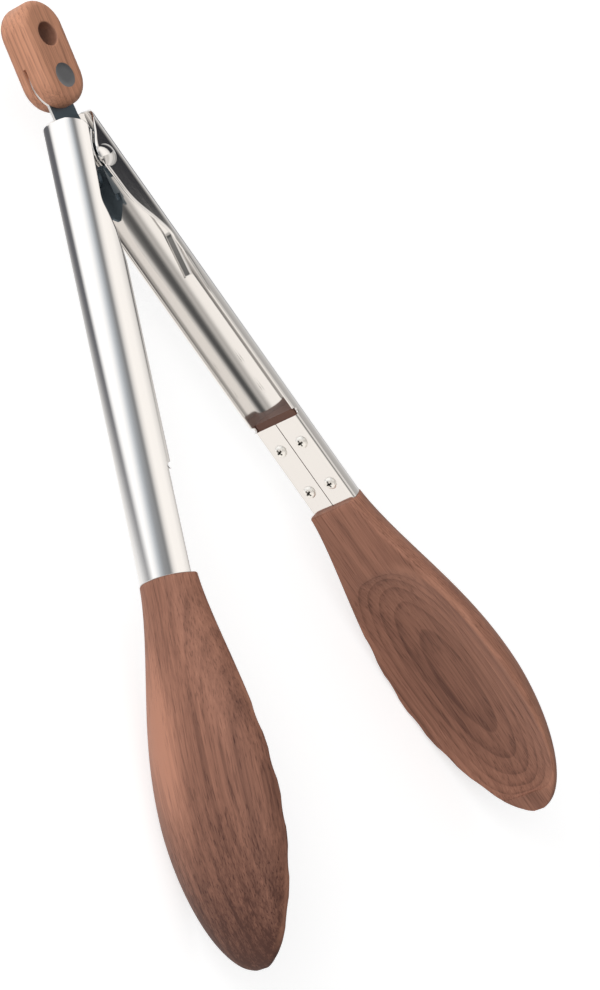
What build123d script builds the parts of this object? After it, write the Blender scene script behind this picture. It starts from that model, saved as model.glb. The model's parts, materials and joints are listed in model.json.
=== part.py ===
from build123d import *
from math import asin, atan2, cos, hypot, pi, radians, sin, sqrt
import os

os.makedirs("parts", exist_ok=True)

# Spring loaded kitchen tongs lying on their side, in millimetres and degrees.
# Everything is drawn around the pivot: +X runs towards the tips, +Z along the pivot rivet.
# Each arm is drawn closed, along +X with +Y outwards, and then swung open by HALF_OPENING.

# Arms: half-round sheet channels
HALF_OPENING = 16.5
CHANNEL_R = 10.0
SHEET = 0.9
RIM_Y = 1.9            # centre of the half round and level of the flaps, outwards from the pivot axis
LEFT_RIM = 1.15        # edges of the left arm's channel
UPPER_RIM = 2.65       # edge of the right arm's upper side
LOWER_RIM = 1.2        # edge of its lower side
ARM_TOP = -14.0
FERRULE_START = 103.8  # the rims fold shut here and hold the wooden tip
FERRULE_END = 137.1
FLAP_SEAM = 0.3
NOTCH_R = 1.1          # relief where the rim starts to fold
INNER_EAR_Z = 8.6      # outer face of the left arm's narrower ears

# Pivot
PIVOT_R = 2.0
PIVOT_CLEARANCE = 0.05
HEAD_R = 3.75
HEAD_H = 1.6
HEAD_GAP = 0.1
SLEEVE_R = 3.2
SLEEVE_HALF = 7.5

# Leaf spring: one strip bent over the sleeve
STRIP = 0.6
STRIP_WIDTH = 3.9
STRIP_Z = 3.55         # it runs beside the lock plate
SPRING_FLOOR = (14.0, 8.8)     # each leg lies along its channel: along the arm, outwards
SPRING_PRESS = (33.0, 8.8)
SPRING_END = (47.9, 5.2)

# Lock: a plate that slides along the sleeve, with a wooden pull
PLATE = 1.0
STROKE = 5.0
SLOT_HALF = 3.3
PLATE_TOP = -33.6
PADDLE_R = 9.3         # round end inside the pull
NECK_HALF = 5.2
PLATE_HALF = 5.9
LOWER_HALF = 5.7
BARB_IN = 7.1
BARB_OUT = 8.1
BARB_TIP = 11.4
POCKET = 14.0
PLATE_END = 20.5
PLATE_CLEFT = 18.3     # middle of the lower end

# Catches: flat hooks in the arms that the barbs take hold of
CATCH = 1.2
CATCH_REACH = 6.0
CATCH_LIP = 0.8
CATCH_END = 8.0

# Wooden pull
TAB_X = -37.55
TAB_LENGTH = 35.6
TAB_WIDTH = 19.5
TAB_THICK = 12.0
TAB_ROUND = 3.0
TAB_LEAN = 2.0         # the pull sits a little askew on its one rivet
TAB_ROLL = -5.0
KERF_END = -34.5
HANG_X = -43.2
HANG_R = 3.9
HANG_ROUND = 0.7
TAB_RIVET_X = -28.95
TAB_RIVET_R = 4.2
TAB_RIVET_SHANK = 1.8
TAB_RIVET_HOLE = 2.1
TAB_RIVET_DISC = 0.8

# Wooden tips
TIP_LENGTH = 123.7
TENON_START = 101.5
TENON_R = 9.05
COLLAR_HALF = 10.15
COLLAR_DEPTH = 12.3
TIP_HALF = 24.8
WIDEST = 0.6           # share of the tip's length
TIP_DEPTH = 15.7
DEEPEST = 0.47
RIM_START = -0.6
RIM_DROP = 1.0
SECTION_POWER = 2.3
BOWL_X = 209.0
BOWL_HALF_LENGTH = 45.0
BOWL_HALF_WIDTH = 23.2
BOWL_DEPTH = 4.8
BITE_R = 30.0          # shallow carved bites along the rims
BITE_DEPTH = 0.55
BITES = (187.0, 202.0, 217.0, 232.0, 246.5)

# Screws through the flaps
SCREW_X = (112.8, 129.35)
SCREW_Z = 5.0
SCREW_HEAD_R = 2.2
SCREW_HEAD_H = 1.2
SCREW_R = 1.2
SCREW_LENGTH = 6.2
SCREW_CROSS = 0.5


def prism(points, radii, half):
    """Plate in the XY plane with rounded corners, from -half to +half in Z."""
    outline = FilletPolyline(*points, radius=radii, close=True)
    return extrude(make_face(outline.edges()), half, both=True)


def slab(points, radii, z0, z1):
    """Plate in the XY plane with rounded corners, from z0 to z1."""
    outline = FilletPolyline(*points, radius=radii, close=True)
    return Pos(0, 0, z0) * extrude(make_face(outline.edges()), z1 - z0)


def channel(x0, x1):
    """Half-round sheet channel whose straight sides run on past the pivot."""
    inside = CHANNEL_R - SHEET
    outer = Pos(RIM_Y, 0) * Circle(CHANNEL_R) + Pos(RIM_Y - 4, 0) * Rectangle(8, 2 * CHANNEL_R)
    inner = Pos(RIM_Y, 0) * Circle(inside) + Pos(RIM_Y - 5, 0) * Rectangle(10, 2 * inside)
    return extrude(Plane.YZ.offset(x0) * (outer - inner), x1 - x0)


def half_disc(radius, y0, corner):
    """Half-round section above the line y0, centred on the rim, with soft corners."""
    disc = Pos(RIM_Y, 0) * Circle(radius) & Pos(y0 + 15, 0) * Rectangle(30, 30)
    return fillet(disc.vertices(), corner)


def ferrule():
    """The end of the channel, closed by two flaps that meet at a seam."""
    ring = half_disc(CHANNEL_R, RIM_Y, 1.0) - half_disc(CHANNEL_R - SHEET, RIM_Y + SHEET, 0.3)
    body = extrude(Plane.YZ.offset(FERRULE_START) * ring, FERRULE_END - FERRULE_START)
    middle = (FERRULE_START + FERRULE_END) / 2
    body -= Pos(middle, RIM_Y, 0) * Box(40, 3, FLAP_SEAM)
    for x in SCREW_X:
        for z in (-SCREW_Z, SCREW_Z):
            body -= Pos(x, RIM_Y, z) * Rot(90, 0, 0) * Cylinder(SCREW_R, 3)
    return body


def pivot_hole(radius):
    return Cylinder(radius, 40)


def with_ferrule(arm, lower_rim, upper_rim):
    """Join the folded end to a channel, with a relief notch at the end of each edge."""
    for y, z in ((lower_rim, -CHANNEL_R), (upper_rim, CHANNEL_R)):
        arm -= Pos(FERRULE_START - NOTCH_R, y, z) * Cylinder(NOTCH_R, 4)
    return arm + ferrule()


def outer_arm():
    """The right arm: its channel sides run straight on as the outer ears."""
    ear = [(ARM_TOP, 14), (ARM_TOP, 10.8), (-11.8, 5.6), (-3.3, -3.0), (16.0, -2.6)]
    upper = ear + [(32.0, 4.0), (41.0, 4.1), (54.0, UPPER_RIM), (FERRULE_START, UPPER_RIM),
                   (FERRULE_START, 14)]
    lower = ear + [(27.0, LOWER_RIM), (FERRULE_START, LOWER_RIM), (FERRULE_START, 14)]
    sheet = channel(ARM_TOP, FERRULE_START)
    arm = sheet & slab(upper, [0, 1.5, 8, 10, 25, 14, 30, 30, 0, 0], 0, 15)
    arm += sheet & slab(lower, [0, 1.5, 8, 10, 25, 14, 0, 0], -15, 0)
    return with_ferrule(arm, LOWER_RIM, UPPER_RIM) - pivot_hole(PIVOT_R + PIVOT_CLEARANCE)


def inner_arm():
    """The left arm, drawn on the same side: its ears step inwards to run between the outer ones."""
    outline = [(ARM_TOP, 14), (ARM_TOP, 10.8), (-11.6, 5.8), (-10.2, 4.8), (15.0, 5.6), (25.0, 2.6),
               (36.0, LEFT_RIM), (FERRULE_START, LEFT_RIM), (FERRULE_START, 14)]
    keep = prism(outline, [0, 1.5, 1.0, 0.6, 12, 10, 10, 0, 0], 15)
    arm = channel(ARM_TOP, FERRULE_START) & keep
    ear = [(-12.25, 7.0), (-11.6, 5.8), (-2.4, -3.3), (3.3, -3.3), (3.3, 3.2), (8.5, 7.0)]
    radii = [0, 4, 3.2, 3.2, 2.5, 0]
    arm += slab(ear, radii, INNER_EAR_Z - SHEET, INNER_EAR_Z)
    arm += slab(ear, radii, -INNER_EAR_Z, SHEET - INNER_EAR_Z)
    return with_ferrule(arm, LEFT_RIM, LEFT_RIM) - pivot_hole(PIVOT_R + PIVOT_CLEARANCE)


def catch():
    """Flat hook on the inside of a channel, with its lip towards the tips."""
    outline = [(-1.2, 12), (-1.2, 10.2), (3.0, CATCH_REACH), (CATCH_END, CATCH_REACH),
               (CATCH_END, CATCH_REACH + CATCH_LIP), (4.2, CATCH_REACH + CATCH_LIP), (4.2, 12)]
    hook = prism(outline, [0, 0, 1.0, 0.3, 0.3, 1.0, 0], CATCH / 2)
    inside = Pos(0, RIM_Y, 0) * Rot(0, 90, 0) * Cylinder(CHANNEL_R - SHEET, 60)
    return hook & inside


def half_width(t):
    """Half the tip's width at the share t of its length."""
    if t < WIDEST:
        return COLLAR_HALF + (TIP_HALF - COLLAR_HALF) * sin(pi / 2 * t / WIDEST) ** 1.4
    return TIP_HALF * sqrt(1 - ((t - WIDEST) / (1 - WIDEST)) ** 1.78)


def depth(t):
    """How far the tip's back stands behind its rim at the share t of its length."""
    if t < DEEPEST:
        return COLLAR_DEPTH + (TIP_DEPTH - COLLAR_DEPTH) * sin(pi / 2 * t / DEEPEST) ** 2
    return TIP_DEPTH * (1 - ((t - DEEPEST) / (1 - DEEPEST)) ** 1.9) ** 0.6


def rim(t):
    return RIM_START - RIM_DROP * t


def tip_section(t):
    """Flat on the inside, a blunt half oval on the outside."""
    x = FERRULE_END + TIP_LENGTH * t
    power = 2 / SECTION_POWER
    points = []
    for step in range(9):
        a = pi * step / 8
        side = 1 if step < 4 else -1
        z = side * half_width(t) * abs(cos(a)) ** power
        points.append((x, rim(t) + depth(t) * abs(sin(a)) ** power, z))
    back = Spline(points, tangents=[(0, 1, 0), (0, -1, 0)])
    flat = Line(points[-1], points[0])
    return make_face([back, flat])


def bowl():
    """Shallow hollow: an oval profile turned about an axis above the tip's flat face."""
    reach = (BOWL_HALF_WIDTH ** 2 - BOWL_DEPTH ** 2) / (2 * BOWL_DEPTH)
    axis_y = rim((BOWL_X - FERRULE_END) / TIP_LENGTH) - reach
    edge = axis_y + reach
    oval = EllipticalCenterArc((BOWL_X, edge), BOWL_HALF_LENGTH, BOWL_DEPTH, start_angle=0, arc_size=180)
    down = Line((BOWL_X - BOWL_HALF_LENGTH, edge), (BOWL_X - BOWL_HALF_LENGTH, axis_y))
    along = Line((BOWL_X - BOWL_HALF_LENGTH, axis_y), (BOWL_X + BOWL_HALF_LENGTH, axis_y))
    up = Line((BOWL_X + BOWL_HALF_LENGTH, axis_y), (BOWL_X + BOWL_HALF_LENGTH, edge))
    return revolve(make_face([oval, down, along, up]), Axis((0, axis_y, 0), (1, 0, 0)))


def tip():
    """Carved wooden tip with a tenon for the ferrule, a shallow bowl and bitten rims."""
    shares = (0, 0.08, 0.2, 0.33, 0.46, 0.58, 0.68, 0.77, 0.85, 0.91, 0.955, 0.985, 0.998)
    body = loft([tip_section(t) for t in shares])
    body -= bowl()
    for x in BITES:
        t = (x - FERRULE_END) / TIP_LENGTH
        out = (BITE_R - BITE_DEPTH) / sqrt(2)
        for side in (-1, 1):
            at = Pos(x, rim(t) - out, side * (half_width(t) + out))
            body -= at * Rot(-45 * side, 0, 0) * Cylinder(BITE_R, 40)
    tenon = Plane.YZ.offset(TENON_START) * half_disc(TENON_R, RIM_Y + SHEET, 0.4)
    body += extrude(tenon, FERRULE_END - TENON_START)
    for x in SCREW_X:
        for z in (-SCREW_Z, SCREW_Z):
            body -= Pos(x, RIM_Y + SCREW_LENGTH / 2, z) * Rot(90, 0, 0) * Cylinder(SCREW_R, SCREW_LENGTH)
    return body


def screw():
    """Pan head wood screw with a cross recess, its head on the flap and its shank along +Y."""
    top = (SCREW_HEAD_R ** 2 + SCREW_HEAD_H ** 2) / (2 * SCREW_HEAD_H)
    head = Pos(0, top - SCREW_HEAD_H, 0) * Sphere(top)
    head &= Pos(0, -SCREW_HEAD_H / 2, 0) * Rot(90, 0, 0) * Cylinder(SCREW_HEAD_R, SCREW_HEAD_H)
    shank = Pos(0, SCREW_LENGTH / 2, 0) * Rot(90, 0, 0) * Cylinder(SCREW_R, SCREW_LENGTH)
    body = head + shank
    for turn in (0, 90):
        body -= Pos(0, -SCREW_HEAD_H, 0) * Rot(0, turn, 0) * Box(2.6, 1.2, SCREW_CROSS)
    return body


def pivot_rivet():
    """Shank with a domed head at each end."""
    ball = (HEAD_R ** 2 + HEAD_H ** 2) / (2 * HEAD_H)
    seat = CHANNEL_R + HEAD_GAP
    dome = Pos(0, 0, seat + HEAD_H - ball) * Sphere(ball)
    dome &= Pos(0, 0, seat + HEAD_H / 2) * Cylinder(HEAD_R, HEAD_H)
    return Cylinder(PIVOT_R, 2 * seat) + dome + mirror(dome, Plane.XY)


def pivot_sleeve():
    return Cylinder(SLEEVE_R, 2 * SLEEVE_HALF) - Cylinder(PIVOT_R, 2 * SLEEVE_HALF)


def open_point(x, y, side):
    """A point drawn on a closed arm, where it lies on the opened arm of that side."""
    a = radians(HALF_OPENING)
    return (x * cos(a) - y * sin(a), side * (x * sin(a) + y * cos(a)))


def leaf_spring():
    """One strip: a bend over the sleeve and two legs that lie in the arms and press them apart."""
    bend = SLEEVE_R + PIVOT_CLEARANCE + STRIP / 2
    floor = open_point(*SPRING_FLOOR, 1)
    lean = atan2(floor[1], floor[0]) - asin(bend / hypot(*floor))
    apex = (-bend / sin(lean), 0)
    leg = (SPRING_FLOOR, SPRING_PRESS, SPRING_END)
    left = [open_point(*p, -1) for p in reversed(leg)]
    right = [open_point(*p, 1) for p in leg]
    path = FilletPolyline(*left, apex, *right, radius=[12, 12, bend, 12, 12])
    start = Plane(origin=path @ 0, x_dir=(0, 0, 1), z_dir=path % 0)
    return Pos(0, 0, STRIP_Z) * sweep(start * Rectangle(STRIP_WIDTH, STRIP), path.wire())


def lock_plate():
    """Flat plate on the centre plane: round end in the pull, slot for the sleeve, barbs at its sides."""
    half = [(TAB_RIVET_X, NECK_HALF), (-17.0, NECK_HALF), (-12.0, PLATE_HALF), (0, PLATE_HALF),
            (3.0, LOWER_HALF), (POCKET, LOWER_HALF), (POCKET, BARB_IN), (BARB_TIP, BARB_IN),
            (BARB_TIP, BARB_OUT), (14.2, 7.9), (17.2, 5.9), (PLATE_END, 3.4)]
    radii = [0, 6, 6, 0, 0, 0.5, 0.5, 0.3, 0.4, 2, 4, 0.8]
    other = [(x, -y) for x, y in reversed(half)]
    plate = prism(half + [(PLATE_CLEFT, 0)] + other, radii + [2] + radii[::-1], PLATE / 2)
    eye = Rot(0, 0, -TAB_LEAN) * Pos(TAB_RIVET_X, 0, 0)
    end = eye * Circle(PADDLE_R) & Pos(PLATE_TOP + 20, 0) * Rectangle(40, 40)
    plate += extrude(end, PLATE / 2, both=True)
    slot = Pos(STROKE / 2, 0, 0) * SlotCenterToCenter(STROKE, 2 * SLOT_HALF)
    plate -= extrude(slot, PLATE, both=True)
    return plate - eye * Cylinder(TAB_RIVET_HOLE, 5)


def askew(shape):
    """The pull's own roll about its length and lean."""
    return Rot(0, 0, -TAB_LEAN) * Rot(TAB_ROLL, 0, 0) * shape


def pull_tab():
    """Wooden pull with round ends, a hang hole and a saw kerf for the plate."""
    body = extrude(Pos(TAB_X, 0) * SlotOverall(TAB_LENGTH, TAB_WIDTH), TAB_THICK / 2, both=True)
    body = fillet(body.edges().filter_by(Axis.Z, reverse=True), TAB_ROUND)
    body -= Pos(HANG_X, 0, 0) * Cylinder(HANG_R, 20)
    mouths = body.edges().filter_by(GeomType.CIRCLE)
    mouths = [e for e in mouths if abs(e.radius - HANG_R) < 0.01]
    body = fillet(mouths, HANG_ROUND)
    body -= Pos(TAB_RIVET_X, 0, 0) * Cylinder(TAB_RIVET_SHANK, 20)
    seat = (TAB_THICK - TAB_RIVET_DISC) / 2
    for z in (-seat, seat):
        body -= Pos(TAB_RIVET_X, 0, z) * Cylinder(TAB_RIVET_R, TAB_RIVET_DISC)
    kerf = Pos(KERF_END / 2, 0, 0) * Box(-KERF_END, 40, PLATE)
    return askew(body) - Rot(0, 0, -TAB_LEAN) * kerf


def tab_rivet():
    """Flush rivet through the pull and the plate."""
    body = Cylinder(TAB_RIVET_SHANK, TAB_THICK)
    seat = (TAB_THICK - TAB_RIVET_DISC) / 2
    for z in (-seat, seat):
        body += Pos(0, 0, z) * Cylinder(TAB_RIVET_R, TAB_RIVET_DISC)
    return askew(Pos(TAB_RIVET_X, 0, 0) * body)


# The right side is swung open one way; the left side is its mirror image.
swing = Rot(0, 0, HALF_OPENING)
wooden_tip = swing * tip()
hook = swing * catch()

nodes = {
    "right_arm": swing * outer_arm(),
    "left_arm": mirror(swing * inner_arm(), Plane.XZ),
    "right_tip": wooden_tip,
    "left_tip": mirror(wooden_tip, Plane.XZ),
    "right_catch": hook,
    "left_catch": mirror(hook, Plane.XZ),
    "pivot_rivet": pivot_rivet(),
    "pivot_sleeve": pivot_sleeve(),
    "leaf_spring": leaf_spring(),
    "lock_plate": lock_plate(),
    "pull_tab": pull_tab(),
    "tab_rivet": tab_rivet(),
}
number = 0
for x in SCREW_X:
    for z in (-SCREW_Z, SCREW_Z):
        number += 1
        placed = swing * Pos(x, RIM_Y, z) * screw()
        nodes[f"right_tip_screw_{number}"] = placed
        nodes[f"left_tip_screw_{number}"] = mirror(placed, Plane.XZ)

# Stand the whole on the ground, with the origin under the middle of its box.
box = Compound(children=[Part() + shape for shape in nodes.values()]).bounding_box()
place = Pos(-(box.min.X + box.max.X) / 2, -(box.min.Y + box.max.Y) / 2, -box.min.Z)
for name, shape in nodes.items():
    export_step(place * shape, f"parts/{name}.step")
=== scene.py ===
"""Spring loaded kitchen tongs: steel channel arms, walnut tips and a walnut pull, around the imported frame."""

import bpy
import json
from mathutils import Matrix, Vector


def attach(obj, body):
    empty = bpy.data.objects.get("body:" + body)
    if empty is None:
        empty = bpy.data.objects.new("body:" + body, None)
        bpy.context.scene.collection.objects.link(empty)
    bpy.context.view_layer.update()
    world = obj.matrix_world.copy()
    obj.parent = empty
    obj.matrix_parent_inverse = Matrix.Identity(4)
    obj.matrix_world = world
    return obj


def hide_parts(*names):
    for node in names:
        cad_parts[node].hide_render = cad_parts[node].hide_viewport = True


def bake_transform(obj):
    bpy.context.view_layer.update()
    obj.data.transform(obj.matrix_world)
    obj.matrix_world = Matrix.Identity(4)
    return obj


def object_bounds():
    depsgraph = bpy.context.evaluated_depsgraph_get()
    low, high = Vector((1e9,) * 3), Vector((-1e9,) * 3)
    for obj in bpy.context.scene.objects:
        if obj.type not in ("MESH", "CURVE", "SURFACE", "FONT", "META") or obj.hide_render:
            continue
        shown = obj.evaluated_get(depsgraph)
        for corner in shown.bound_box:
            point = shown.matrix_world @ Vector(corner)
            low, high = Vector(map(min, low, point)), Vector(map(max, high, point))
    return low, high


bl_info = {
    "name": "Kitchen Tongs",
    "version": (1, 0, 0),
    "blender": (4, 5, 0),
    "location": "View3D > Sidebar > Tongs",
    "description": "Dresses the tongs' frame with steel and walnut pieces, and sets the studio",
    "category": "Object",
}

import json
import math
from functools import reduce

import bmesh
import bpy
import numpy as np
from mathutils import Matrix, Vector

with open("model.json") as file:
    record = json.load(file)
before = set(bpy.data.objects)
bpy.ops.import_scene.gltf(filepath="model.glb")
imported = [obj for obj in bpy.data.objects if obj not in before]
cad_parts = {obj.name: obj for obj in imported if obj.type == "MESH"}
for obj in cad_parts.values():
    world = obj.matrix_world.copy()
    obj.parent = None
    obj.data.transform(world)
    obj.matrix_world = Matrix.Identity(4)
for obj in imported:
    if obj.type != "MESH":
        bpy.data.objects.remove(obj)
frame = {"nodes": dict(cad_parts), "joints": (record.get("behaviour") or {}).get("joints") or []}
CAD_BOX = [list(corner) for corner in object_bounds()]

MM = 0.001
PIVOT = np.array(next(j["pos_m"] for j in frame["joints"] if j["name"] == "left_swing"))
ARM_SIDES = {"right": 1, "left": -1}


# Settings that a user would change


def length_setting(name, millimetres, description):
    """A length, kept in metres and given in millimetres."""
    return bpy.props.FloatProperty(
        name=name, description=description, default=millimetres * MM, subtype="DISTANCE", unit="LENGTH")


def colour_setting(name, colour, description):
    """A colour as linear red, green and blue."""
    return bpy.props.FloatVectorProperty(
        name=name, description=description, default=colour, subtype="COLOR", size=3, min=0, max=1)


class TongsSizes(bpy.types.PropertyGroup):
    """Sizes of the dressed pieces, equal to the frame's."""

    half_opening: bpy.props.FloatProperty(
        name="Half opening", description="Angle of each arm from the middle line",
        default=math.radians(16.5), subtype="ANGLE")
    channel_radius: length_setting("Channel radius", 10.0, "Outer radius of the half-round arms")
    sheet: length_setting("Sheet", 0.9, "Thickness of the arms' steel")
    rim: length_setting("Rim", 1.9, "Distance of the arms' rims from the pivot axis")
    tip_half_width: length_setting("Tip half width", 24.77, "Half the width of a wooden tip")
    tip_depth: length_setting("Tip depth", 15.7, "Thickness of a wooden tip")
    bowl_depth: length_setting("Bowl depth", 4.8, "Depth of the hollow in a tip")
    bite_depth: length_setting("Bite depth", 0.55, "Depth of the carved bites along the rims")


class TongsColours(bpy.types.PropertyGroup):
    """Base colours of the finishes."""

    steel: colour_setting("Steel", (0.80, 0.787, 0.775), "Polished sheet steel")
    walnut_light: colour_setting("Walnut, light", (0.50, 0.232, 0.152), "Early wood of the walnut")
    walnut_dark: colour_setting("Walnut, dark", (0.085, 0.034, 0.024), "Late wood of the walnut")
    floor: colour_setting("Floor", (0.9, 0.9, 0.9), "Studio floor")


def sizes():
    """The scene's own sizes."""
    return bpy.context.scene.tongs_sizes


def colours():
    """The scene's own colours."""
    return bpy.context.scene.tongs_colours


# Mesh helpers


def circle(angle):
    """Points of a circle of radius one, as cosine and sine of each angle."""
    return np.stack([np.cos(angle), np.sin(angle)], -1)


def round_angles(steps):
    """Even angles once round, without the last, which is the first again."""
    return np.linspace(0, 2 * math.pi, steps + 1)[:-1]


def open_out(points, side):
    """Places in the frame of points given as (along, outwards, across) on a closed arm: turned about the
    pivot by the half opening, x = a cos - o sin, y = a sin + o cos, and mirrored in Y for the left arm."""
    turn = sizes().half_opening
    along, out, across = np.moveaxis(np.asarray(points, float), -1, 0)
    x = along * math.cos(turn) - out * math.sin(turn)
    y = along * math.sin(turn) + out * math.cos(turn)
    return np.stack([x, side * y, across], -1) + PIVOT


def grid_faces(rows, cols, wrap_rows=False):
    """Quads of a grid of points whose columns close on themselves, and its rows too if asked."""
    i = np.arange(rows if wrap_rows else rows - 1)[:, None]
    j = np.arange(cols)[None]
    near, far = i * cols, (i + 1) % rows * cols
    nxt = (j + 1) % cols
    return np.stack([near + j, near + nxt, far + nxt, far + j], -1).reshape(-1, 4).tolist()


def tube(loops):
    """Faces of a solid through closed loops (rows, cols, 3), with its two ends closed."""
    rows, cols = loops.shape[:2]
    first = np.arange(cols)
    return grid_faces(rows, cols) + [first.tolist(), (first + (rows - 1) * cols).tolist()]


def new_object(name, data):
    """An object in the scene, at the origin."""
    item = bpy.data.objects.new(name, data)
    bpy.context.scene.collection.objects.link(item)
    return item


def new_piece(name, shells, material, grain=None, sharp=35, weld=1e-7):
    """A mesh object from shells, each (points, faces), with its normals outwards and its doubles merged.
    grain gives each point's place in the piece's own straight frame, for patterns that follow the piece."""
    points, faces = [], []
    for co, quads in shells:
        base = sum(len(p) for p in points)
        points.append(co.reshape(-1, 3))
        faces += [[base + k for k in face] for face in quads]
    points = np.concatenate(points)
    mesh = bpy.data.meshes.new(name)
    mesh.from_pydata(points.tolist(), [], faces)
    if grain is not None:
        layer = mesh.attributes.new("grain", "FLOAT_VECTOR", "POINT")
        layer.data.foreach_set("vector", np.asarray(grain, np.float32).reshape(-1))
    work = bmesh.new()
    work.from_mesh(mesh)
    bmesh.ops.remove_doubles(work, verts=work.verts, dist=weld)
    bmesh.ops.dissolve_degenerate(work, edges=work.edges, dist=weld)
    bmesh.ops.recalc_face_normals(work, faces=work.faces)
    work.to_mesh(mesh)
    work.free()
    mesh.shade_smooth()
    mesh.set_sharp_from_angle(angle=math.radians(sharp))
    mesh.materials.append(material)
    piece = new_object(name, mesh)
    return piece


def rounded_path(corners, radii, steps=12):
    """Straight runs between corners, each inner corner an arc of its radius tangent to both runs."""
    p = np.asarray(corners, float)
    out = [p[:1]]
    for a, b, c, r in zip(p[:-2], p[1:-1], p[2:], radii):
        u = (a - b) / np.linalg.norm(a - b)
        w = (c - b) / np.linalg.norm(c - b)
        half = 0.5 * math.acos(np.clip(u @ w, -1, 1))
        centre = b + (u + w) / np.linalg.norm(u + w) * r / math.sin(half)
        ends = [b + u * r / math.tan(half) - centre, b + w * r / math.tan(half) - centre]
        start, stop = (math.atan2(q[1], q[0]) for q in ends)
        turn = (stop - start + math.pi) % (2 * math.pi) - math.pi
        t = start + turn * np.linspace(0, 1, steps)
        out.append(centre + r * circle(t))
    out.append(p[-1:])
    return np.concatenate(out)


def raised(line, level):
    """A flat outline at one level, or at each point's own."""
    return np.column_stack([line, np.broadcast_to(level, len(line))])


def spread(outline, levels):
    """Copies of a flat outline at each level, as (levels, points, 3) with the level last."""
    flat = np.broadcast_to(outline[None], (len(levels),) + outline.shape)
    heights = np.broadcast_to(np.asarray(levels)[:, None, None], flat.shape[:2] + (1,))
    return np.concatenate([flat, heights], -1)


def smoothstep(x):
    """A rise from 0 to 1, flat at both ends: three times the square less twice the cube."""
    x = np.clip(x, 0, 1)
    return x * x * (3 - 2 * x)


# Arms

ARM_TOP = -14.0 * MM
FERRULE_START = 103.8 * MM
FERRULE_END = 137.1 * MM
NOTCH = 1.1 * MM
FLAP_CORNER = 1.0 * MM
FLAP_SEAM = 0.3 * MM
FLAP_INNER_CORNER = 0.3 * MM
FERRULE_SECTIONS = 6
# Where the channel's sections lie, as (start, end, count): close together where the cut edges bend
CHANNEL_RUNS = ((ARM_TOP, 60 * MM, 230), (62 * MM, 100 * MM, 12), (101 * MM, FERRULE_START, 30))
# The arms' cut edges as (along, outwards) corners in millimetres, each with the rounds of its inner corners
RIGHT_EAR = [(-14, 12.4), (-14, 10.8), (-11.8, 5.6), (-3.3, -3.0), (16, -2.6)]
RIGHT_EAR_ROUNDS = [1.5, 8, 10]
RIGHT_UPPER = (RIGHT_EAR + [(32, 4.0), (41, 4.1), (54, 2.65), (103.8, 2.65)],
               RIGHT_EAR_ROUNDS + [25, 14, 30, 30])
RIGHT_LOWER = (RIGHT_EAR + [(27, 1.2), (103.8, 1.2)], RIGHT_EAR_ROUNDS + [25, 14])
LEFT_EDGE = (
    [(-14, 12.4), (-14, 10.8), (-11.6, 5.8), (-10.2, 4.8), (15, 5.6), (25, 2.6), (36, 1.15), (103.8, 1.15)],
    [1.5, 1.0, 0.6, 12, 10, 10])
ARM_EDGES = {"right": (RIGHT_UPPER, RIGHT_LOWER), "left": (LEFT_EDGE, LEFT_EDGE)}
INNER_EAR = np.array([(-12.25, 7), (-11.6, 5.8), (-2.4, -3.3), (3.3, -3.3), (3.3, 3.2), (8.5, 7)]) * MM
INNER_EAR_ROUNDS = np.array([4, 3.2, 3.2, 2.5]) * MM
INNER_EAR_Z = 8.6 * MM


def edge_height(along, corners, rounds):
    """Height of a channel's cut edge along the arm, with the half-round relief notch ahead of the flaps."""
    path = rounded_path(np.array(corners) * MM, np.array(rounds) * MM)
    height = np.interp(along, path[:, 0] + 1e-9 * np.arange(len(path)), path[:, 1])
    off = (along - (FERRULE_START - NOTCH)) / NOTCH
    return height + NOTCH * np.sqrt(np.clip(1 - off ** 2, 0, 1)) * (along < FERRULE_START)


def sheet_section(angle, radius):
    """Outwards and across of the channel at a profile angle: a half circle of that radius about the rim line
    from 0 to pi, and straight on past both ends at the same pace."""
    size = sizes()
    bent = np.clip(angle, 0, math.pi)
    past = np.minimum(angle, 0) + np.minimum(math.pi - angle, 0)
    out = size.rim + radius * np.sin(bent) + size.channel_radius * past
    return out, radius * np.cos(bent)


def channel_loops(upper, lower):
    """Closed sections of the sheet along the arm: outside, a half-round edge, inside and the other edge. At
    each edge the sheet's middle bulges by a third of its thickness. The two edges have their own heights."""
    size = sizes()
    along = np.concatenate([np.linspace(*run) for run in CHANNEL_RUNS])
    radius = size.channel_radius
    share = np.stack([edge_height(along, *edge) - size.rim for edge in (upper, lower)]) / radius
    near, far = np.where(share > 0, np.arcsin(np.clip(share, -1, 1)), share)[..., None]
    bulge = size.sheet / 3 / radius
    across = np.linspace(0, 1, 57)[None]
    sweep = near + bulge + (math.pi - near - far - 2 * bulge) * across
    beta = np.linspace(0, math.pi, 7)[None, 1:-1]
    edge_r = np.repeat(radius - size.sheet / 2 * (1 - np.cos(beta)), len(along), 0)
    edge_near, edge_far = (first + bulge * (1 - np.sin(beta)) for first in (near, far))
    angle = np.concatenate([sweep, math.pi - edge_far, sweep[:, ::-1], edge_near[:, ::-1]], 1)
    whole = np.ones_like(sweep)
    reach = np.concatenate([radius * whole, edge_r, (radius - size.sheet) * whole, edge_r[:, ::-1]], 1)
    out, side = sheet_section(angle, reach)
    return np.stack([np.broadcast_to(along[:, None], out.shape), out, side], -1)


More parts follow.
